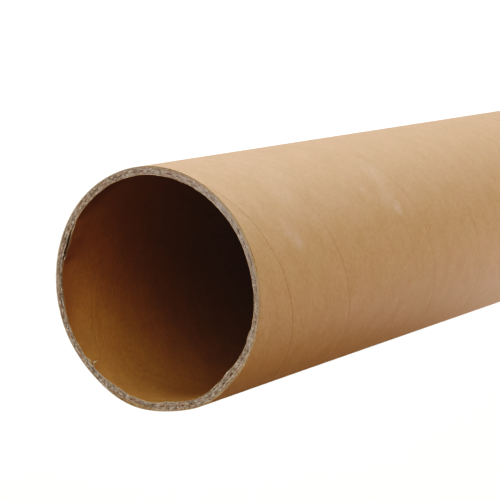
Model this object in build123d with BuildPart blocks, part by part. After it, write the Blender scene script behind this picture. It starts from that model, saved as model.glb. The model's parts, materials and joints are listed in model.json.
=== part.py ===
from build123d import *

import os
from math import asin, ceil, cos, degrees, pi

# A cardboard mailing tube, wound from strips of paper, glued and cut off square.
# It is open at both ends and stands on one of them: the origin is the centre of
# the lower end, and +Z runs up the axis to the mouth. Angles are in degrees
# about the axis, from +X towards +Y. All sizes are in millimetres.

# The tube
length = 610.0
bore = 76.0
wall = 2.5

# The strips: all are wound with one lead, as a right-handed helix
strip_width = 95.0
liner = 0.3

# Seam of the outer liner, whose edges leave a gap down to the ply below
seam_gap = 0.4
seam_mouth_angle = -31.7

# Crease in the outer liner over the joint of the ply below
crease_width = 0.7
crease_depth = 0.12
crease_mouth_angle = 100.8

# Seam of the inner liner, on the bore
bore_seam_gap = 0.3
bore_seam_mouth_angle = 154.2

# Place at the mouth where the inner liner has come away from the board
peel_angle = 66.0
peel_arc = 24.0
peel_opening = 0.7
peel_depth = 8.0

# How far each seam's cut runs on past both ends of the tube
overrun = 6.0

# Sizes that follow from the ones above
bore_radius = bore / 2
outer_radius = bore_radius + wall
board_radius = bore_radius + liner
wind_angle = asin(strip_width / (2 * pi * outer_radius))
lead = strip_width / cos(wind_angle)

# Each seam's face radius, its depth, its gap measured square across it, and the
# angle at which it runs out at the mouth
seams = [
    (outer_radius, liner, seam_gap, seam_mouth_angle),
    (outer_radius, crease_depth, crease_width, crease_mouth_angle),
    (bore_radius, liner, bore_seam_gap, bore_seam_mouth_angle),
]


def seam_cutter(face_radius, depth, gap, mouth_angle):
    """Sweep a seam's section up its helix, from +X below the lower end to above the mouth."""
    part_turn = mouth_angle / 360
    turns = ceil((length + overrun) / lead - part_turn) + part_turn
    start_height = length - turns * lead
    with BuildPart() as cutter:
        with BuildLine():
            Helix(lead, turns * lead + overrun, face_radius, center=(0, 0, start_height))
        with BuildSketch(Plane.XZ):
            with Locations((face_radius, start_height)):
                Rectangle(2 * depth, gap / cos(wind_angle))
        sweep(is_frenet=True)
    return cutter.part


seam_cutters = [seam_cutter(*seam) for seam in seams]

with BuildPart() as tube:
    # Wall
    with BuildSketch():
        Circle(outer_radius)
        Circle(bore_radius, mode=Mode.SUBTRACT)
    extrude(amount=length)

    # Seams, cut together
    add(seam_cutters, mode=Mode.SUBTRACT)

    # Opening behind the loose liner, widest in its middle
    with BuildSketch(Plane.XY.offset(length)):
        with BuildLine():
            liner_back = CenterArc((0, 0), board_radius, peel_angle - peel_arc / 2, peel_arc)
            widest = Vector(board_radius + peel_opening, 0).rotate(Axis.Z, peel_angle)
            ThreePointArc(liner_back @ 1, widest, liner_back @ 0)
        make_face()
    extrude(amount=-peel_depth, mode=Mode.SUBTRACT)

tube.part.label = "tube"

print("wind angle", round(degrees(wind_angle), 2), "lead", round(lead, 2))
os.makedirs("parts", exist_ok=True)
export_step(tube.part, "parts/tube.step")
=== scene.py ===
import json
import math
import random

import bmesh
import bpy
from mathutils import Matrix, Vector, noise


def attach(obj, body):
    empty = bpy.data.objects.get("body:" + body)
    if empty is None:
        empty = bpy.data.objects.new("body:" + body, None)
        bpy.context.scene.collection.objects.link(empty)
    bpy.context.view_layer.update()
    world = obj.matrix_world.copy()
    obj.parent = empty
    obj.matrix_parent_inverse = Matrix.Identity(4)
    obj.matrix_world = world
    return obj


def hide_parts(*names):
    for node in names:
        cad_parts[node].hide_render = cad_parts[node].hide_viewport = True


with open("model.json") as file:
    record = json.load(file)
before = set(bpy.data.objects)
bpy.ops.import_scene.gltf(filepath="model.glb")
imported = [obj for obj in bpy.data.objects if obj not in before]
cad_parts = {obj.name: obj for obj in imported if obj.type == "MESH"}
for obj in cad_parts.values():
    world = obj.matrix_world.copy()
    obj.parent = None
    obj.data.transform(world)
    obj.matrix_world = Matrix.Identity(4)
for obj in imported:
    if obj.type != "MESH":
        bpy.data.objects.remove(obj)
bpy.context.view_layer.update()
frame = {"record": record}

# Lengths in the dictionaries are in millimetres, and angles are in degrees about
# the tube's axis, from +X towards +Y. Depths are measured down from the mouth.
mm = 0.001
mounts = {mount["name"]: mount["dims"] for mount in frame["record"]["mounts"]}
boreRadius = mounts["bore"]["r_mm"]
outerRadius = mounts["outside"]["r_mm"]
tubeLength = mounts["bore"]["length_mm"]

winding = {
    "stripWidth": 95.0,
    "liner": 0.3,
}
windAngle = math.asin(winding["stripWidth"] / (2 * math.pi * outerRadius))
lead = winding["stripWidth"] / math.cos(windAngle)
wallMiddle = (outerRadius + boreRadius) / 2
rimRadius = 39.3  # of the circle that the patterns on the cut run along
print("frame loaded, wind angle", round(math.degrees(windAngle), 2))

# What the knife and rough handling did to the tube at its mouth
wear = {
    # angle, reach and size of each place
    "roundness": [(27, 24, -0.12), (95, 60, -0.1), (134, 32, -0.42), (157, 22, 0.22),
                  (184, 22, -0.42), (204, 16, 0.22)],
    "roundnessDepth": 90.0,
    "burrs": [(156, 22, 0.9), (186, 24, 0.65), (222, 32, 0.9), (224, 4, 0.35), (247, 5, 0.35),
              (284, 22, 0.3), (322, 46, 0.4), (348, 18, 0.2), (8, 40, 0.35), (42, 22, 0.45),
              (64, 18, 0.5), (96, 16, 0.3)],
    "burrDepth": 10.0,
    "burrGrain": 260,  # bumps to the metre
    "burrChange": 0.35,
    # where the outer liner's edge is pressed over the board
    "rolled": [(164, 20, 0.95), (193, 16, 0.2), (226, 18, 0.3)],
    "rolledDepth": 5.0,
    "ragged": 0.16,  # of the inner edge
    "raggedDepth": 2.5,
    "raggedGrain": 700,
    # angle and lift of the loose part of the inner liner
    "loose": [(50, 0), (58, 0.3), (65, 0.62), (72, 0.5), (77, 0.17), (86, 0.14), (95, 0.1),
              (101, 0)],
    "looseDepth": 14.0,
    "loosePly": 0.45,  # how much thicker the loose edge is, with board torn off on it
    "looseFull": 0.4,  # the lift from which it has that whole thickness
    "knifeWobble": 0.12,
    "wobbleGrain": 45,
    "wobbleDepth": 20.0,
}


def angleBetween(a, b):
    return (a - b + 180) % 360 - 180


# One at no distance, falling smoothly to nothing at reach
def hump(distance, reach):
    t = min(abs(distance) / reach, 1)
    return 0.5 + 0.5 * math.cos(math.pi * t)


def humps(places, angle):
    return sum(size * hump(angleBetween(angle, at), reach) for at, reach, size in places)


# How far the loose part of the inner liner leans in at the mouth
def looseLift(angle):
    for (a, liftA), (b, liftB) in zip(wear["loose"], wear["loose"][1:]):
        if a <= angle < b:
            t = (angle - a) / (b - a)
            return liftA + (liftB - liftA) * t * t * (3 - 2 * t)
    return 0


# Where a point of the round, square-cut tube is on the worn one. The last number
# in the place of a noise only keeps one pattern apart from the others.
def worn(co, leans=False):
    radius = math.hypot(co.x, co.y) / mm
    angle = math.degrees(math.atan2(co.y, co.x)) % 360
    depth = tubeLength - co.z / mm
    liner = winding["liner"]
    board = outerRadius - boreRadius - 2 * liner
    inward = max(0, min(1, (outerRadius - liner - radius) / board))
    shift = humps(wear["roundness"], angle) * hump(depth, wear["roundnessDepth"])
    bumps = noise.noise((co.x * wear["burrGrain"], co.y * wear["burrGrain"], 3))
    uneven = 1 + wear["burrChange"] * bumps
    shift -= humps(wear["burrs"], angle) * hump(depth, wear["burrDepth"]) * inward * uneven
    torn = wear["ragged"] * noise.noise(co * wear["raggedGrain"])
    shift -= torn * hump(depth, wear["raggedDepth"]) * inward
    fromMiddle = radius - wallMiddle
    if fromMiddle > 0:
        halfBoard = (outerRadius - boreRadius) / 2 - liner
        share = min(fromMiddle / halfBoard, (outerRadius - radius) / liner)
        shift -= humps(wear["rolled"], angle) * hump(depth, wear["rolledDepth"]) * max(0, share)
    if leans:
        lift = looseLift(angle)
        onFace = radius < boreRadius + liner / 3
        ply = wear["loosePly"] * min(1, lift / wear["looseFull"]) if onFace else 0
        shift -= (lift + ply) * hump(depth, wear["looseDepth"])
    scale = (radius + shift) / radius
    wobble = noise.noise((co.x * wear["wobbleGrain"], co.y * wear["wobbleGrain"], 7 + co.z))
    rise = wear["knifeWobble"] * wobble * hump(depth, wear["wobbleDepth"]) * mm
    return Vector((co.x * scale, co.y * scale, co.z + rise))


# A closed rectangle of radii and heights in the plane of X and Z, ready to spin
def drawSection(bm, inside, outside, low, high):
    corners = [(outside, low), (outside, high), (inside, high), (inside, low)]
    verts = [bm.verts.new((radius * mm, 0, height * mm)) for radius, height in corners]
    for i, vert in enumerate(verts):
        bm.edges.new((vert, verts[(i + 1) % 4]))


def cutAcross(bm, place, direction, clear=False):
    geom = bm.verts[:] + bm.edges[:] + bm.faces[:]
    return bmesh.ops.bisect_plane(bm, geom=geom, dist=1e-8, plane_co=place, plane_no=direction,
                                  clear_outer=clear)["geom_cut"]


def weld(bm):
    bmesh.ops.remove_doubles(bm, verts=bm.verts[:], dist=2e-6)


def onlyOf(kind, items):
    return [item for item in items if isinstance(item, kind)]


def finishPiece(bm, name, materials, sharpFrom=38):
    bmesh.ops.recalc_face_normals(bm, faces=bm.faces[:])
    for face in bm.faces:
        face.smooth = True
    for edge in bm.edges:
        edge.smooth = edge.calc_face_angle(0) < math.radians(sharpFrom)
    mesh = bpy.data.meshes.new(name)
    bm.to_mesh(mesh)
    bm.free()
    for material in materials:
        mesh.materials.append(material)
    piece = bpy.data.objects.new(name, mesh)
    bpy.context.scene.collection.objects.link(piece)
    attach(piece, "root")
    print(name, "faces", len(mesh.polygons))
    return piece


# Material helpers
def addNode(tree, kind, inputs=None, **settings):
    node = tree.nodes.new(kind)
    for name, value in settings.items():
        setattr(node, name, value)
    for name, value in (inputs or {}).items():
        if isinstance(value, bpy.types.NodeSocket):
            tree.links.new(value, node.inputs[name])
        else:
            node.inputs[name].default_value = value
    return node


def noiseOf(tree, vector, scale, detail=3.0, roughness=0.5):
    return addNode(tree, "ShaderNodeTexNoise", {
        "Vector": vector, "Scale": scale, "Detail": detail,
        "Roughness": roughness}).outputs["Fac"]


def vectorMaths(tree, operation, a, b=(0, 0, 0)):
    return addNode(tree, "ShaderNodeVectorMath", {0: a, 1: b}, operation=operation).outputs


def stretched(tree, vector, scale):
    return vectorMaths(tree, "MULTIPLY", vector, scale)[0]


def maths(tree, operation, a, b=0.0, clamp=False):
    return addNode(tree, "ShaderNodeMath", {0: a, 1: b}, operation=operation,
                   use_clamp=clamp).outputs[0]


def blended(tree, a, shareA, b, shareB):
    return maths(tree, "ADD", maths(tree, "MULTIPLY", a, shareA),
                 maths(tree, "MULTIPLY", b, shareB))


# One on a line, falling to nothing at width from it
def nearLine(tree, value, line, width):
    off = maths(tree, "ABSOLUTE", maths(tree, "SUBTRACT", value, line))
    return maths(tree, "SUBTRACT", 1.0, maths(tree, "DIVIDE", off, width), True)


def remap(tree, value, low, high, outLow=0.0, outHigh=1.0):
    return addNode(tree, "ShaderNodeMapRange", {
        "Value": value, "From Min": low, "From Max": high,
        "To Min": outLow, "To Max": outHigh}).outputs["Result"]


def mixFloat(tree, factor, a, b):
    return addNode(tree, "ShaderNodeMix", {"Factor": factor, "A": a, "B": b},
                   data_type="FLOAT").outputs[0]


def mixColor(tree, factor, a, b):
    node = addNode(tree, "ShaderNodeMix", {"Factor": factor}, data_type="RGBA")
    for name, value in (("A", a), ("B", b)):
        socket = [s for s in node.inputs if s.name == name and s.type == "RGBA"][0]
        if isinstance(value, bpy.types.NodeSocket):
            tree.links.new(value, socket)
        else:
            socket.default_value = (*value, 1)
    return [s for s in node.outputs if s.type == "RGBA"][0]


def newGroup(name, inputs, outputs):
    tree = bpy.data.node_groups.new(name, "ShaderNodeTree")
    for socket, kind, value in inputs:
        made = tree.interface.new_socket(socket, in_out="INPUT", socket_type=kind)
        if value is not None:
            made.default_value = value
    for socket, kind in outputs:
        tree.interface.new_socket(socket, in_out="OUTPUT", socket_type=kind)
    given = tree.nodes.new("NodeGroupInput").outputs
    return tree, given, tree.nodes.new("NodeGroupOutput").inputs


def useGroup(tree, group, inputs):
    return addNode(tree, "ShaderNodeGroup", inputs, node_tree=group).outputs


def newMaterial(name, roughness, specular):
    material = bpy.data.materials.new(name)
    material.use_nodes = True
    tree = material.node_tree
    shader = tree.nodes["Principled BSDF"]
    shader.inputs["Roughness"].default_value = roughness
    shader.inputs["Specular IOR Level"].default_value = specular
    return material, tree, shader


def setBump(tree, shader, height, strength, distance):
    bump = addNode(tree, "ShaderNodeBump", {
        "Height": height, "Strength": strength, "Distance": distance * mm})
    tree.links.new(bump.outputs["Normal"], shader.inputs["Normal"])


# How many to the metre along and across the strip, detail and roughness
grainLook = {
    "shortFibres": ((620, 1050, 1), 3.0, 0.6),
    "clouds": ((110, 170, 1), 4.0, 0.6),
    "longDetail": 4.0,
    "longRoughness": 0.62,
    "longShare": 0.45,
    "shortShare": 0.55,
    "cloudHeight": 0.5,
}

# Paper grain: fibres drawn out along the strip, and the cloudiness of the sheet
paperGrain, given, wanted = newGroup("paperGrain", [
    ("Strip", "NodeSocketVector", None),
    ("Fibre Length", "NodeSocketFloat", 5.0),
    ("Fibre Width", "NodeSocketFloat", 0.5)],
    [("Tone", "NodeSocketFloat"), ("Cloud", "NodeSocketFloat"), ("Height", "NodeSocketFloat")])
along = maths(paperGrain, "DIVIDE", 1000.0, given["Fibre Length"])
across = maths(paperGrain, "DIVIDE", 1000.0, given["Fibre Width"])
perMetre = addNode(paperGrain, "ShaderNodeCombineXYZ", {"X": along, "Y": across, "Z": 1.0})
longFibres = noiseOf(paperGrain, stretched(paperGrain, given["Strip"], perMetre.outputs[0]), 1.0,
                     grainLook["longDetail"], grainLook["longRoughness"])
shortFibres, cloud = [
    noiseOf(paperGrain, stretched(paperGrain, given["Strip"], scale), 1.0, detail, roughness)
    for scale, detail, roughness in (grainLook["shortFibres"], grainLook["clouds"])]
both = blended(paperGrain, longFibres, grainLook["longShare"],
               shortFibres, grainLook["shortShare"])
raised = maths(paperGrain, "MULTIPLY", cloud, grainLook["cloudHeight"])
paperGrain.links.new(both, wanted["Tone"])
paperGrain.links.new(cloud, wanted["Cloud"])
paperGrain.links.new(maths(paperGrain, "ADD", both, raised), wanted["Height"])

# A soft patch about a centre on the object, broken up by the grain: it places rubs, painted
# highlights and painted shade
patchLook = {
    "grain": 420.0,
    "broken": (0.38, 0.62),
    "falloff": 1.4,
}
rubbedPatch, given, wanted = newGroup("rubbedPatch", [
    ("Place", "NodeSocketVector", None),
    ("Centre", "NodeSocketVector", None),
    ("Reach", "NodeSocketFloat", 0.01),
    ("Breakup", "NodeSocketFloat", 0.5)],
    [("Mask", "NodeSocketFloat")])
away = vectorMaths(rubbedPatch, "DISTANCE", given["Place"], given["Centre"])["Value"]
away = maths(rubbedPatch, "DIVIDE", away, given["Reach"])
soft = maths(rubbedPatch, "SUBTRACT", 1.0, away, True)
broken = remap(rubbedPatch, noiseOf(rubbedPatch, given["Place"], patchLook["grain"], 4.0, 0.65),
               *patchLook["broken"])
kept = mixFloat(rubbedPatch, given["Breakup"], 1.0, broken)
soft = maths(rubbedPatch, "POWER", soft, patchLook["falloff"])
rubbedPatch.links.new(maths(rubbedPatch, "MULTIPLY", soft, kept), wanted["Mask"])

# Coordinates that run round the cut face: nearly still along it, quick across it
roundTheRim, given, wanted = newGroup("roundTheRim", [
    ("Place", "NodeSocketVector", None),
    ("Stretch", "NodeSocketFloat", 3.0)],
    [("Vector", "NodeSocketVector")])
flat = stretched(roundTheRim, given["Place"], (1, 1, 0))
heading = vectorMaths(roundTheRim, "NORMALIZE", flat)[0]
ring = stretched(roundTheRim, heading, (rimRadius * mm, rimRadius * mm, 0))
radius = vectorMaths(roundTheRim, "LENGTH", flat)["Value"]
height = addNode(roundTheRim, "ShaderNodeSeparateXYZ", {0: given["Place"]}).outputs["Z"]
level = maths(roundTheRim, "ADD", radius, height)
level = maths(roundTheRim, "MULTIPLY", level, given["Stretch"])
ringUp = addNode(roundTheRim, "ShaderNodeCombineXYZ", {"Z": level}).outputs[0]
roundTheRim.links.new(vectorMaths(roundTheRim, "ADD", ring, ringUp)[0], wanted["Vector"])

outsideLook = {
    "light": (0.610, 0.385, 0.240),
    "dark": (0.500, 0.295, 0.165),
    "pink": (0.585, 0.345, 0.225),
    "green": (0.520, 0.345, 0.200),
    "rub": (0.720, 0.520, 0.390),
    # angle, depth, reach and amount
    "rubs": [(-66.8, 100.4, 3.8, 0.75), (-68.8, 101.2, 2.6, 0.4), (-62, 97, 8, 0.35),
             (-53.3, 83.5, 1.4, 0.9), (-72.4, 29, 5, 0.4), (-68, 25, 7, 0.25),
             (-45.5, 100, 8, 0.4), (-51.4, 36, 8, 0.3), (-30, 40, 20, 0.15)],
    # height across the strip, width and amount of each line of painted shade and dirt
    "lines": [(64.7, 0.6, 0.15), (14.3, 0.5, 0.10), (0.0, 0.4, 0.05), (102.4, 0.4, 0.05)],
    # places along the lines where they show more: angle, depth, reach and amount
    "worked": [(-85, 52, 70, 0.22), (-94, 120, 34, 0.18), (-110, 162, 30, 0.14),
               (100, 60, 80, 0.9), (100, 320, 185, 1.6), (-80, 450, 235, 1.6),
               (100, 560, 120, 1.2)],
}
insideLook = {
    "light": (0.515, 0.323, 0.178),
    "dark": (0.420, 0.243, 0.116),
    "pink": (0.500, 0.290, 0.162),
    "green": (0.440, 0.285, 0.146),
    "rub": (0.640, 0.450, 0.320),
    # a painted lift of light on the shade under the loose liner
    "rubs": [(60, 5, 15, 0.5)],
    # lines of painted shade and dirt along the seams and a crease
    "lines": [(0.0, 0.35, 0.05), (102.4, 0.35, 0.05), (41.0, 0.4, 0.05)],
    "worked": [],
    # depth, amount and colour of the painted shade band inside the mouth
    "handled": (9.0, 0.5, (0.300, 0.155, 0.068)),
}
# What both faces share
sheetLook = {
    "fibre": (2.4, 0.6),  # length and width
    "grainShare": 0.7,
    "cloudShare": 0.3,
    "toneRange": (0.37, 0.63),
    "hueScale": 75.0,
    "pinkRange": (0.50, 0.70),
    "greenRange": (0.50, 0.30),
    "hueAmount": 0.40,
    "sliverScale": (420, 2400, 1),
    "sliverRange": (0.735, 0.80),
    "sliverAmount": 0.5,
    "sliver": (0.20, 0.11, 0.055),
    "dirtScale": (60, 90, 1),
    "dirtRange": (0.38, 0.60),
    "dirtLeast": 0.1,
    "dirtWorked": 2,  # times a worked place's amount
    # colour of the painted shade and dirt in the seams and creases
    "dirt": (0.16, 0.085, 0.04),
    "lineBreakup": 0.4,
    "rubBreakup": 0.7,
    "handledFalloff": 1.6,
    "specular": 0.35,
    "glossRange": (0.3, 0.7),  # tones between which the roughness changes
    "glossChange": (-0.06, 0.08),
    "bump": (0.35, 0.12),  # strength and height
}


def onTube(angle, depth, radius=outerRadius):
    turn = math.radians(angle)
    return Vector((radius * math.cos(turn), radius * math.sin(turn), tubeLength - depth)) * mm


def patchAt(tree, place, centre, reach, breakup):
    return useGroup(tree, rubbedPatch, {"Place": place, "Centre": centre, "Reach": reach * mm,
                                        "Breakup": breakup})["Mask"]


def kraftMaterial(name, look, roughness):
    material, tree, shader = newMaterial(name, roughness, sheetLook["specular"])
    strip = addNode(tree, "ShaderNodeUVMap", uv_map="strip").outputs["UV"]
    place = addNode(tree, "ShaderNodeTexCoord").outputs["Object"]
    length, width = sheetLook["fibre"]
    grain = useGroup(tree, paperGrain, {
        "Strip": strip, "Fibre Length": length, "Fibre Width": width})
    tone = blended(tree, grain["Tone"], sheetLook["grainShare"],
                   grain["Cloud"], sheetLook["cloudShare"])
    color = mixColor(tree, remap(tree, tone, *sheetLook["toneRange"]),
                     look["dark"], look["light"])
    patches = noiseOf(tree, strip, sheetLook["hueScale"], 3.0, 0.6)
    for hue in ("pink", "green"):
        mask = remap(tree, patches, *sheetLook[hue + "Range"], 0.0, sheetLook["hueAmount"])
        color = mixColor(tree, mask, color, look[hue])
    # Sparse dark slivers of bark in the sheet
    slivers = noiseOf(tree, stretched(tree, strip, sheetLook["sliverScale"]), 1.0, 1.0, 0.4)
    slivers = remap(tree, slivers, *sheetLook["sliverRange"], 0.0, sheetLook["sliverAmount"])
    color = mixColor(tree, slivers, color, sheetLook["sliver"])
    # Painted shade and dirt in the seam and the creases, here and there along them
    across = addNode(tree, "ShaderNodeSeparateXYZ", {0: strip}).outputs["Y"]
    patchy = noiseOf(tree, stretched(tree, strip, sheetLook["dirtScale"]), 1.0, 3.0)
    patchy = remap(tree, patchy, *sheetLook["dirtRange"], sheetLook["dirtLeast"], 1.0)
    for angle, depth, reach, amount in look["worked"]:
        mask = patchAt(tree, place, onTube(angle, depth), reach, sheetLook["lineBreakup"])
        more = maths(tree, "MULTIPLY", mask, amount * sheetLook["dirtWorked"])
        patchy = maths(tree, "ADD", patchy, more)
    for height, width, amount in look["lines"]:
        line = nearLine(tree, across, height * math.cos(windAngle) * mm, width * mm)
        line = maths(tree, "MULTIPLY", maths(tree, "MULTIPLY", line, patchy), amount, True)
        color = mixColor(tree, line, color, sheetLook["dirt"])
    # Pale rubs, and painted light where the inside lies in the loose liner's shade
    for angle, depth, reach, amount in look["rubs"]:
        mask = patchAt(tree, place, onTube(angle, depth), reach, sheetLook["rubBreakup"])
        color = mixColor(tree, maths(tree, "MULTIPLY", mask, amount), color, look["rub"])
    # Painted shade inside the mouth, darkest at the rim
    if "handled" in look:
        depth, amount, shadeColor = look["handled"]
        height = addNode(tree, "ShaderNodeSeparateXYZ", {0: place}).outputs["Z"]
        near = remap(tree, height, (tubeLength - depth) * mm, tubeLength * mm)
        near = maths(tree, "POWER", near, sheetLook["handledFalloff"])
        color = mixColor(tree, maths(tree, "MULTIPLY", near, amount), color, shadeColor)
    tree.links.new(color, shader.inputs["Base Color"])
    smoother, rougher = sheetLook["glossChange"]
    tree.links.new(remap(tree, tone, *sheetLook["glossRange"], roughness + smoother,
                         roughness + rougher), shader.inputs["Roughness"])
    setBump(tree, shader, grain["Height"], *sheetLook["bump"])
    return material


kraftOutside = kraftMaterial("kraft outside", outsideLook, 0.62)
kraftInside = kraftMaterial("kraft inside", insideLook, 0.70)

edgeLook = {
    "outerEdge": ((0.17, 0.11, 0.07), (0.35, 0.24, 0.165)),
    "innerEdge": ((0.16, 0.122, 0.10), (0.38, 0.305, 0.26)),
    # angle, reach, amount and colour of patches on the liners' edges: a painted highlight on the
    # outer cut, painted shade on the inner
    "outerPatches": [(66, 34, 0.8, (0.62, 0.47, 0.36))],
    # painted shade on the inner liner's cut, the first two by its loose part
    "innerPatches": [(66, 10, 0.75, (0.075, 0.045, 0.024)), (90, 16, 0.7, (0.085, 0.055, 0.035)),
                     (24, 24, 0.5, (0.12, 0.085, 0.065))],
    "patchRadius": 38.5,
    "patchBreakup": 0.3,
    # how much quicker the patterns change across the cut than along it
    "edgeStretch": 3.0,
    "coarseStretch": 2.6,
    "fineStretch": 5.0,
    "fleckScales": (1400.0, 95.0),
    "fleckRange": (0.41, 0.59),
    "edgeBump": (0.5, 0.1),
    # deep, middle and pale grey of the board
    "board": ((0.076, 0.060, 0.051), (0.216, 0.168, 0.145), (0.475, 0.39, 0.348)),
    "coarseGrain": (600.0, 0.55),  # scale and share
    "fineGrain": (1200.0, 0.45),
    "deepRange": (0.49, 0.38),
    "paleRange": (0.51, 0.60),
    "boardBump": (0.8, 0.2),
    # scale, range, amount and colour
    "reddish": (190.0, (0.46, 0.66), 0.5, (0.28, 0.175, 0.14)),
    "olive": (120.0, (0.50, 0.68), 0.3, (0.20, 0.15, 0.105)),
    "oliveStretch": (1, 1, 0.6),
    # angle, reach, amount and colour of a side of the cut
    "frayed": (312, 60.0, 0.40, (0.405, 0.325, 0.345)),  # the paler side
    "browned": (285, 70.0, 1.2, (0.33, 0.22, 0.15)),  # where the outer plies are browner
    "brownedFrom": (0.45, 0.95),  # shares of the wall
    # share of the wall, width and amount of each joint between plies
    "plies": [(0.42, 0.12, 0.8), (0.80, 0.08, 0.4)],
    "jointScale": 800.0,
    "jointRange": (0.50, 0.57),
    "joint": (0.05, 0.039, 0.032),
}


# The liners' own cut edges, flecked and greyer than their faces
def cutPaperMaterial(name, tones, patches):
    material, tree, shader = newMaterial(name, 0.9, 0.2)
    place = addNode(tree, "ShaderNodeTexCoord").outputs["Object"]
    rim = useGroup(tree, roundTheRim, {
        "Place": place, "Stretch": edgeLook["edgeStretch"]})["Vector"]
    small, large = [noiseOf(tree, rim, scale, 3.0, 0.6) for scale in edgeLook["fleckScales"]]
    flecks = blended(tree, small, 0.5, large, 0.5)
    color = mixColor(tree, remap(tree, flecks, *edgeLook["fleckRange"]), *tones)
    # Patches of painted light: a highlight on the outer cut, shade on the inner
    for angle, reach, amount, tint in patches:
        centre = onTube(angle, 0, edgeLook["patchRadius"])
        mask = patchAt(tree, place, centre, reach, edgeLook["patchBreakup"])
        color = mixColor(tree, remap(tree, mask, 0.0, 0.5, 0.0, amount), color, tint)
    tree.links.new(color, shader.inputs["Base Color"])
    setBump(tree, shader, flecks, *edgeLook["edgeBump"])
    return material


# Grey board of recycled fibre, speckled where the knife went through it
def boardMaterial():
    material, tree, shader = newMaterial("grey board", 0.92, 0.2)
    place = addNode(tree, "ShaderNodeTexCoord").outputs["Object"]
    rim, layers = [
        useGroup(tree, roundTheRim, {"Place": place, "Stretch": edgeLook[stretch]})["Vector"]
        for stretch in ("coarseStretch", "fineStretch")]
    (coarseScale, coarseShare), (fineScale, fineShare) = (
        edgeLook["coarseGrain"], edgeLook["fineGrain"])
    coarse = noiseOf(tree, rim, coarseScale, 4.0, 0.65)
    fine = noiseOf(tree, layers, fineScale, 4.0, 0.65)
    speckle = blended(tree, coarse, coarseShare, fine, fineShare)
    deep, middle, pale = edgeLook["board"]
    color = mixColor(tree, remap(tree, speckle, *edgeLook["deepRange"]), middle, deep)
    color = mixColor(tree, remap(tree, speckle, *edgeLook["paleRange"]), color, pale)
    drawnOut = stretched(tree, rim, edgeLook["oliveStretch"])
    for hue, along in (("reddish", rim), ("olive", drawnOut)):
        scale, among, amount, tint = edgeLook[hue]
        mask = remap(tree, noiseOf(tree, along, scale, 3.0, 0.5), *among, 0.0, amount)
        color = mixColor(tree, mask, color, tint)
    wallShare = addNode(tree, "ShaderNodeAttribute", attribute_name="ply").outputs["Fac"]
    outward = remap(tree, wallShare, *edgeLook["brownedFrom"])
    for part in ("frayed", "browned"):
        angle, reach, amount, tint = edgeLook[part]
        side = patchAt(tree, place, onTube(angle, 0), reach, edgeLook["patchBreakup"])
        if part == "browned":
            side = maths(tree, "MULTIPLY", side, outward)
        color = mixColor(tree, maths(tree, "MULTIPLY", side, amount), color, tint)
    broken = remap(tree, noiseOf(tree, rim, edgeLook["jointScale"], 2.0, 0.5),
                   *edgeLook["jointRange"])
    for share, width, amount in edgeLook["plies"]:
        joint = maths(tree, "MULTIPLY", nearLine(tree, wallShare, share, width), broken)
        color = mixColor(tree, maths(tree, "MULTIPLY", joint, amount), color,
                         edgeLook["joint"])
    tree.links.new(color, shader.inputs["Base Color"])
    setBump(tree, shader, speckle, *edgeLook["boardBump"])
    return material


fibreLook = {
    "scale": 700.0,
    "range": (0.4, 0.6),
    "dark": (0.34, 0.26, 0.20),
    "light": (0.62, 0.54, 0.46),
}


def fibreMaterial():
    material, tree, shader = newMaterial("loose fibre", 0.95, 0.1)
    place = addNode(tree, "ShaderNodeTexCoord").outputs["Object"]
    tone = remap(tree, noiseOf(tree, place, fibreLook["scale"]), *fibreLook["range"])
    color = mixColor(tree, tone, fibreLook["dark"], fibreLook["light"])
    tree.links.new(color, shader.inputs["Base Color"])
    return material


outerCut = cutPaperMaterial("outer liner cut", edgeLook["outerEdge"], edgeLook["outerPatches"])
innerCut = cutPaperMaterial("inner liner cut", edgeLook["innerEdge"], edgeLook["innerPatches"])
greyBoard = boardMaterial()
looseFibre = fibreMaterial()
print("materials made")

outerStrip = {
    "face": outerRadius,
    "back": outerRadius - winding["liner"],
    "gap": 0.025,
    "gapAtMouth": 0.115,
    "gapReach": 30.0,  # how far down the mouth's wider gap goes
    "gapChange": 0.01,
    "gapWorked": 0.04,  # how much more it opens where it was worked
    "seamAngle": -31.7,  # where the seam runs out at the mouth
    "creases": [(100.8, 1.2, 0.2), (-82.0, 1.0, 0.07)],  # angle at the mouth, width, depth
    "creaseLeast": 0.15,  # share of the depth where the crease nearly fades out
    "creaseChange": 0.15,
    "stepsPerTurn": 256,
    "rows": 12,
    "waver": 0.10,
    "endRows": [0.6, 3, 9, 20, 40],  # depths of the mesh's rows at the mouth
}
innerStrip = {
    "face": boreRadius,
    "back": boreRadius + winding["liner"],
    "gap": 0.03,
    "gapAtMouth": 0.04,
    "gapReach": 48.0,
    "gapChange": 0.01,
    "gapWorked": 0.0,
    "seamAngle": 154.2,
    "creases": [],
    "stepsPerTurn": 320,
    "rows": 10,
    "waver": 0.10,
    "endRows": [0.5, 1.5, 3, 5, 7.5, 10.5, 15, 25, 45],
}
# How the mesh of both strips is made
stripMesh = {
    "edgeRows": (0.1, 0.35),  # how far in from the strip's edges
    "edgeReach": 0.3,  # what is nearer to an edge moves with it
    "edgeRounding": 0.04,
    "creaseRows": (-1, -0.5, -0.2, 0, 0.2, 0.5, 1),  # shares of the crease's width
    "onFace": 0.01,
    "cutFrom": 0.6,  # how far a face points up or down the tube to be a cut edge
}


# Noise that closes up round the tube, changing so quickly around it and up it
def roundNoise(angle, height, around, up, seed=0):
    return noise.noise((around * math.cos(angle), around * math.sin(angle), seed + height * up))


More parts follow.
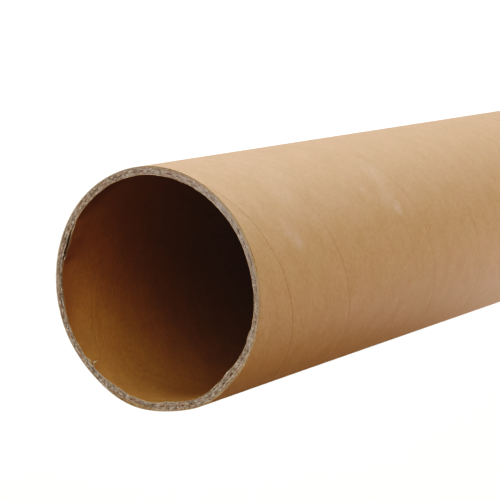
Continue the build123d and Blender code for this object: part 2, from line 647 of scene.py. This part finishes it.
# A strip of paper wound up the tube as one helix, its edges nearly meeting
def windStrip(name, strip, materials, leans):
    bm = bmesh.new()
    halfGap = strip["gap"] / 2 / math.cos(windAngle)
    turnsUp = tubeLength / lead - strip["seamAngle"] / 360
    start = tubeLength - lead * (strip["seamAngle"] / 360 + math.ceil(turnsUp) + 1)
    turns = math.ceil(turnsUp) + 2
    inside = min(strip["face"], strip["back"])
    outside = max(strip["face"], strip["back"])
    drawSection(bm, inside, outside, start + halfGap, start + lead - halfGap)
    toBack = math.copysign(1, strip["back"] - strip["face"])
    corners = [v for v in bm.verts if abs(v.co.x / mm - strip["face"]) < stripMesh["onFace"]]
    for inFrom in stripMesh["edgeRows"]:
        cutAcross(bm, (0, 0, (start + halfGap + inFrom) * mm), (0, 0, 1))
        cutAcross(bm, (0, 0, (start + lead - halfGap - inFrom) * mm), (0, 0, 1))
    for vert in corners:
        vert.co.x += toBack * stripMesh["edgeRounding"] * mm
    edgeSide = bm.verts.layers.float.new("edge side")
    sunk = bm.verts.layers.float.new("sunk")
    for vert in bm.verts:
        if vert.co.z / mm < start + stripMesh["edgeReach"]:
            vert[edgeSide] = 1
        elif vert.co.z / mm > start + lead - stripMesh["edgeReach"]:
            vert[edgeSide] = -1
    for i in range(1, strip["rows"]):
        cutAcross(bm, (0, 0, (start + lead * i / strip["rows"]) * mm), (0, 0, 1))
    for angle, width, depth in strip["creases"]:
        height = start + lead * (((strip["seamAngle"] - angle) / 360) % 1)
        for side in stripMesh["creaseRows"]:
            cutAcross(bm, (0, 0, (height + side * width) * mm), (0, 0, 1))
        for vert in bm.verts:
            if abs(vert.co.x / mm - strip["face"]) < stripMesh["onFace"]:
                away = (vert.co.z / mm - height) / (width / 2)
                vert[sunk] += depth * hump(away, 1)
    steps = strip["stepsPerTurn"]
    bmesh.ops.spin(bm, geom=bm.verts[:] + bm.edges[:], cent=(0, 0, 0), axis=(0, 0, 1),
                   dvec=(0, 0, lead / steps * mm), angle=2 * math.pi, steps=steps,
                   use_duplicate=False)
    oneTurn = bm.verts[:] + bm.edges[:] + bm.faces[:]
    for i in range(1, turns):
        more = bmesh.ops.duplicate(bm, geom=oneTurn)["geom"]
        bmesh.ops.translate(bm, vec=(0, 0, i * lead * mm), verts=onlyOf(bmesh.types.BMVert, more))
    weld(bm)
    # The gap's edges aren't quite straight, and it opens towards the mouth
    for vert in bm.verts:
        angle = math.atan2(vert.co.y, vert.co.x)
        height = vert.co.z
        opening = (strip["gapAtMouth"] - strip["gap"]) / 2
        opening *= hump(tubeLength - height / mm, strip["gapReach"])
        opening += strip["gapChange"] * 2 * roundNoise(angle, height, 2, 20, 9)
        worked = 0
        if vert[sunk] or vert[edgeSide]:
            worked = sum(amount * hump((vert.co - onTube(at, depth)).length / mm, reach)
                         for at, depth, reach, amount in outsideLook["worked"])
            opening += strip["gapWorked"] * worked
        if vert[sunk]:
            fading = strip["creaseChange"] * roundNoise(angle, height, 3, 25, 5)
            share = max(0, min(1, strip["creaseLeast"] + fading + worked))
            vert.co.xy *= 1 + toBack * vert[sunk] * share / strip["face"]
        swing = strip["waver"] * 2 * roundNoise(angle, height, 4, 30)
        vert.co.z += (swing + opening * vert[edgeSide]) * mm
    for height, way in ((0, -1), (tubeLength, 1)):
        cut = cutAcross(bm, (0, 0, height * mm), (0, 0, way), True)
        filled = bmesh.ops.triangle_fill(bm, use_beauty=True,
                                         edges=onlyOf(bmesh.types.BMEdge, cut))["geom"]
        for face in onlyOf(bmesh.types.BMFace, filled):
            face.material_index = 1
    for depth in strip["endRows"]:
        cutAcross(bm, (0, 0, (tubeLength - depth) * mm), (0, 0, 1))
    layUv(bm, start, strip["face"])
    for face in bm.faces:
        if face.material_index == 0 and abs(face.normal.z) > stripMesh["cutFrom"]:
            face.material_index = 1
    for vert in bm.verts:
        vert.co = worn(vert.co, leans)
    piece = finishPiece(bm, name, materials)
    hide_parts("tube")
    return piece


# Metres along the strip and across it, unbroken from turn to turn
def layUv(bm, start, radius):
    layer = bm.loops.layers.uv.new("strip")
    for face in bm.faces:
        centre = face.calc_center_median()
        middle = math.atan2(centre.y, centre.x) % (2 * math.pi)
        turn = math.floor((centre.z / mm - start) / lead - middle / (2 * math.pi))
        for loop in face.loops:
            co = loop.vert.co
            angle = middle + math.atan2(co.y * math.cos(middle) - co.x * math.sin(middle),
                                        co.x * math.cos(middle) + co.y * math.sin(middle))
            angle += 2 * math.pi * turn
            height = co.z / mm - start - lead * angle / (2 * math.pi)
            across = height * math.cos(windAngle)
            along = radius * angle / math.cos(windAngle) + height * math.sin(windAngle)
            loop[layer].uv = (along * mm, across * mm)


outerLiner = windStrip("outerLiner", outerStrip, [kraftOutside, outerCut], False)
innerLiner = windStrip("innerLiner", innerStrip, [kraftInside, innerCut], True)

boardCore = {
    "steps": 1440,
    "shares": 24,
    "radialRows": 10,
    "mouthRows": (0.25, 1.2, 5, 12, 45, 90),  # depths of the mesh's rows
    "footRows": (0.25, 1.2),
    "overlap": 0.02,  # how far it reaches into the liners, which leaves no slit
    "roughness": 0.10,
    "grain": 1.3,
    "fractal": (0.8, 2.1, 4),  # fineness, step between octaves and their number
    "grainStretch": 2.6,
    "endsApart": 50,  # which gives each end of the tube a grain of its own
    "pits": 0.22,
    "pitGrain": 0.9,
    "pitFrom": 0.18,
    "below": 0.03,  # how far the cut board lies under the liners' edges
    "cutWithin": 0.1,
}


# The board between the liners, rough where it was cut
def buildBoard():
    bm = bmesh.new()
    inside = boreRadius + winding["liner"] - boardCore["overlap"]
    outside = outerRadius - winding["liner"] + boardCore["overlap"]
    drawSection(bm, inside, outside, 0, tubeLength)
    for i in range(1, boardCore["radialRows"]):
        radius = inside + (outside - inside) * i / boardCore["radialRows"]
        cutAcross(bm, (radius * mm, 0, 0), (1, 0, 0))
    for depth in boardCore["mouthRows"]:
        cutAcross(bm, (0, 0, (tubeLength - depth) * mm), (0, 0, 1))
        if depth in boardCore["footRows"]:
            cutAcross(bm, (0, 0, depth * mm), (0, 0, 1))
    share = 2 * math.pi / boardCore["shares"]
    bmesh.ops.spin(bm, geom=bm.verts[:] + bm.edges[:], cent=(0, 0, 0), axis=(0, 0, 1),
                   angle=share, steps=boardCore["steps"] // boardCore["shares"],
                   use_duplicate=False)
    oneShare = bm.verts[:] + bm.edges[:] + bm.faces[:]
    for i in range(1, boardCore["shares"]):
        more = bmesh.ops.duplicate(bm, geom=oneShare)["geom"]
        bmesh.ops.rotate(bm, cent=(0, 0, 0), matrix=Matrix.Rotation(i * share, 3, "Z"),
                         verts=onlyOf(bmesh.types.BMVert, more))
    weld(bm)
    ply = bm.verts.layers.float.new("ply")
    for vert in bm.verts:
        end = min(vert.co.z, tubeLength * mm - vert.co.z) / mm
        outward = 1 if vert.co.z > tubeLength / 2 * mm else -1
        radius = vert.co.xy.length / mm
        vert[ply] = (radius - inside) / (outside - inside)
        angle = math.atan2(vert.co.y, vert.co.x)
        onRim = Vector((rimRadius * math.cos(angle), rimRadius * math.sin(angle),
                        boardCore["grainStretch"] * radius + boardCore["endsApart"] * outward))
        grain = noise.fractal(onRim * boardCore["grain"], *boardCore["fractal"])
        pit = max(0, noise.noise(onRim * boardCore["pitGrain"]) - boardCore["pitFrom"])
        vert.co = worn(vert.co)
        if end < boardCore["cutWithin"]:
            rise = boardCore["roughness"] * grain - boardCore["pits"] * pit - boardCore["below"]
            vert.co.z += outward * rise * mm
    piece = finishPiece(bm, "board", [greyBoard], 70)
    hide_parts("tube")
    return piece


board = buildBoard()

fluff = {
    "seed": 7,
    "hairs": 420,
    "hairRadii": [boreRadius + 0.15, boreRadius + 0.3, outerRadius - 0.15],
    "hairLength": (0.35, 1.3),
    "hairShare": (0.5, 1),  # of that length
    "hairWidth": (0.03, 0.08),
    "hairSides": 3,
    "hairParts": 4,
    "hairLean": (0.1, 1.0),
    "hairRise": (0.1, 0.7),
    "hairRoot": 0.08,  # how deep it starts
    "curl": 0.5,
    "footCurl": 0.3,  # share of it up and down at the foot
    "bend": 0.45,  # share of the curl that each part adds
    "wildness": 0.6,
    "chips": 130,
    "chipSize": (0.25, 0.6),
    "chipInset": 0.4,  # from the wall's faces
    "chipWidth": (0.35, 0.6),  # shares of its length
    "chipHeight": (0.2, 0.4),
    "chipKnocks": (0.75, 1.2),
    "chipTurn": 0.5,
    "tuft": (132.3, 37.6, 8, 0.3),  # angle, radius, hairs, their width
    "tuftSpread": 1.2,
    "tuftLength": (1.4, 2.6),
    "tuftWildness": 1.4,
    # angle, radius and size
    "flakes": [(61, 38.75, 0.6), (195, 38.9, 0.5), (226, 39.6, 0.6), (297.5, 38.5, 0.45),
               (74, 37.6, 0.5), (224.5, 38.2, 0.6), (227.6, 38.8, 0.45), (159, 38.1, 0.5),
               (119.6, 38.1, 0.4)],
    "flakeScale": 1.5,
}


# Fibres torn up by the knife along the edges, and crumbs of board on the cut
def buildFluff():
    rng = random.Random(fluff["seed"])
    bm = bmesh.new()

    # outward is 1 at the mouth and -1 at the foot, where nothing stands out below the tube
    def hair(angle, radius, length, width, outward, wildness):
        turn = math.radians(angle)
        radial = Vector((math.cos(turn), math.sin(turn), 0))
        side = Vector((-math.sin(turn), math.cos(turn), 0))
        end = Vector((0, 0, tubeLength * mm if outward > 0 else 0))
        base = worn(radial * radius * mm + end)
        base.z -= outward * fluff["hairRoot"] * mm
        inOut = -1 if radius < wallMiddle else 1
        rise = rng.uniform(*fluff["hairRise"]) if outward > 0 else 0.0
        lean = radial * inOut * rng.uniform(*fluff["hairLean"]) * wildness
        way = (lean + side * rng.uniform(-1, 1) + Vector((0, 0, rise))).normalized()
        curl = Vector([rng.uniform(-1, 1) for _ in range(3)]) * fluff["curl"]
        if outward < 0:
            curl.z = abs(curl.z) * fluff["footCurl"]
        made = bmesh.ops.create_circle(bm, segments=fluff["hairSides"],
                                       radius=width / 2 * mm)["verts"]
        tilt = way.to_track_quat("Z", "Y").to_matrix()
        bmesh.ops.rotate(bm, cent=(0, 0, 0), matrix=tilt, verts=made)
        bmesh.ops.translate(bm, vec=base, verts=made)
        edges = list(dict.fromkeys(edge for vert in made for edge in vert.link_edges))
        bmesh.ops.contextual_create(bm, geom=edges)
        for _ in range(fluff["hairParts"]):
            grown = bmesh.ops.extrude_edge_only(bm, edges=edges)["geom"]
            tip = onlyOf(bmesh.types.BMVert, grown)
            edges = onlyOf(bmesh.types.BMEdge, grown)
            way = (way + curl * fluff["bend"]).normalized()
            bmesh.ops.translate(bm, vec=way * length / fluff["hairParts"] * mm, verts=tip)
        point = sum((vert.co for vert in tip), Vector()) / len(tip)
        bmesh.ops.pointmerge(bm, verts=tip, merge_co=point)

    def crumb(angle, radius, size, outward):
        turn = math.radians(angle)
        spot = worn(Vector((radius * math.cos(turn), radius * math.sin(turn),
                            tubeLength if outward > 0 else 0)) * mm)
        made = bmesh.ops.create_icosphere(bm, subdivisions=1, radius=size / 2 * mm)["verts"]
        shape = (rng.uniform(*fluff["chipWidth"]), 1, rng.uniform(*fluff["chipHeight"]))
        bmesh.ops.scale(bm, vec=shape, verts=made)
        for vert in made:
            vert.co *= rng.uniform(*fluff["chipKnocks"])
        turn += rng.uniform(-fluff["chipTurn"], fluff["chipTurn"])
        bmesh.ops.rotate(bm, cent=(0, 0, 0), matrix=Matrix.Rotation(turn, 3, "Z"), verts=made)
        bmesh.ops.translate(bm, vec=spot, verts=made)

    for i in range(fluff["hairs"]):
        radius = rng.choice(fluff["hairRadii"])
        angle = rng.uniform(0, 360)
        length = rng.uniform(*fluff["hairLength"]) * rng.uniform(*fluff["hairShare"])
        width = rng.uniform(*fluff["hairWidth"])
        hair(angle, radius, length, width, 1 if i % 3 else -1, fluff["wildness"])
    angle, radius, count, width = fluff["tuft"]
    spread = fluff["tuftSpread"]
    for _ in range(count):
        hair(angle + rng.uniform(-spread, spread), radius, rng.uniform(*fluff["tuftLength"]),
             width, 1, fluff["tuftWildness"])
    low, high = boreRadius + fluff["chipInset"], outerRadius - fluff["chipInset"]
    for i in range(fluff["chips"]):
        crumb(rng.uniform(0, 360), rng.uniform(low, high), rng.uniform(*fluff["chipSize"]),
              1 if i % 3 else -1)
    for angle, radius, size in fluff["flakes"]:
        crumb(angle, radius, size * fluff["flakeScale"], 1)
    return finishPiece(bm, "fluff", [looseFibre])


looseFibres = buildFluff()

# Stage: pale floor, soft light and the camera. Its lengths are in metres, apart
# from how far below the mouth a light aims.
studio = {
    # name, watts, size, angle, rise, distance, colour, how far below the mouth
    # it aims, and its spread where that is narrow
    "softboxes": [
        ("upper", 25.0, 1.2, 16, -3, 1.7, (0.965, 0.985, 0.965), 0),
        ("overhead", 21.5, 1.5, 0, 89, 1.7, (1, 1, 0.96), 0),
        ("front", 11.75, 2.4, -75, 25, 2.4, (1, 0.875, 0.42), 0),
        ("side", 6.65, 1.3, -30, 40, 1.7, (0.83, 1, 0.775), 0),
        ("sideLow", 6.8, 1.3, -50, 10, 1.7, (0.5, 0.455, 1), 250),
        ("low", 0.46, 0.4, -110, -50, 0.62, (1, 0.72, 0.585), 0),
        ("behind", 10.0, 1.6, 105, 12, 2.0, (1, 0.93, 0.85), 0),
        ("below", 0.066, 0.1, -140, 0, 0.14, (0.7, 0.715, 1), 250),
        ("foot", 0.3, 0.2, -115, 0, 0.9, (1, 0.93, 0.82), 520, 30),
    ],
    "sky": 0.07,
    "floorRadius": 14,
    "floorSides": 96,
    "floorDrop": 0.0003,  # how far the floor is below the tube's foot
    "floorColor": (0.93, 0.93, 0.93),
    "floorBounce": (0.45, 0.405, 0.35),
    "floorGlow": 0.30,
}
scene = bpy.context.scene
floorMesh = bpy.data.meshes.new("floor")
bm = bmesh.new()
bmesh.ops.create_circle(bm, cap_ends=True, segments=studio["floorSides"],
                        radius=studio["floorRadius"])
bmesh.ops.translate(bm, vec=(0, 0, -studio["floorDrop"]), verts=bm.verts[:])
bm.to_mesh(floorMesh)
bm.free()
floor = bpy.data.objects.new("floor", floorMesh)
scene.collection.objects.link(floor)
# The camera sees it white, and the tube gets its warm grey bounce
floorPaper, tree, shader = newMaterial("floor paper", 0.95, 0.1)
shader.inputs["Base Color"].default_value = (*studio["floorColor"], 1)
shader.inputs["Emission Color"].default_value = (1, 1, 1, 1)
shader.inputs["Emission Strength"].default_value = studio["floorGlow"]
grey = addNode(tree, "ShaderNodeBsdfDiffuse", {"Color": (*studio["floorBounce"], 1)})
seen = addNode(tree, "ShaderNodeLightPath").outputs["Is Camera Ray"]
mix = addNode(tree, "ShaderNodeMixShader", {0: seen, 1: grey.outputs[0], 2: shader.outputs[0]})
tree.links.new(mix.outputs[0], tree.nodes["Material Output"].inputs["Surface"])
floorMesh.materials.append(floorPaper)

world = bpy.data.worlds.new("studio")
scene.world = world
world.use_nodes = True
tree = world.node_tree
seen = addNode(tree, "ShaderNodeLightPath").outputs["Is Camera Ray"]
backdrop = tree.nodes["Background"]
backdrop.inputs["Color"].default_value = (1, 1, 1, 1)
tree.links.new(mixFloat(tree, seen, studio["sky"], 1.0), backdrop.inputs["Strength"])


def addSoftbox(name, power, size, angle, rise, distance, color, down, spread=180):
    light = bpy.data.lights.new(name, "AREA")
    light.shape = "DISK"
    light.size = size
    light.energy = power
    light.color = color
    light.spread = math.radians(spread)
    lamp = bpy.data.objects.new(name, light)
    turn, rise = math.radians(angle), math.radians(rise)
    way = Vector((math.cos(turn) * math.cos(rise), math.sin(turn) * math.cos(rise),
                  math.sin(rise)))
    lamp.location = Vector((0, 0, (tubeLength - down) * mm)) + way * distance
    lamp.rotation_euler = way.to_track_quat("Z", "Y").to_euler()
    lamp.visible_camera = False
    scene.collection.objects.link(lamp)


for box in studio["softboxes"]:
    addSoftbox(*box)

# The lens and the sensor are in millimetres, and the rest in metres
view = {
    "lens": 139.7,
    "sensor": 36,
    "nearest": 0.02,
    "place": (0.07764, -0.36359, tubeLength * mm + 0.51033),
    "right": (-0.06706, -0.84480, -0.53087),
    "up": (0.99211, 0.0, -0.12533),
    "back": (0.10588, -0.53509, 0.83813),
}
cameraData = bpy.data.cameras.new("camera")
cameraData.lens = view["lens"]
cameraData.sensor_width = view["sensor"]
cameraData.clip_start = view["nearest"]
camera = bpy.data.objects.new("camera", cameraData)
turned = Matrix((view["right"], view["up"], view["back"])).transposed().to_4x4()
camera.matrix_world = Matrix.Translation(view["place"]) @ turned
scene.collection.objects.link(camera)
scene.camera = camera

# The photograph's contrast: a soft toe under mid brown, and a gentle shoulder
tones = [(0, 0.0028), (0.02, 0.0045), (0.05, 0.013), (0.08, 0.036), (0.11, 0.078),
         (0.233, 0.283), (0.376, 0.456), (0.62, 0.68)]
settings = scene.view_settings
settings.view_transform = "Standard"
settings.look = "None"
settings.use_curve_mapping = True
curve = settings.curve_mapping.curves[3]
curve.points[0].location = tones[0]
for x, y in tones[1:]:
    curve.points.new(x, y)
settings.curve_mapping.update()
print("stage set")
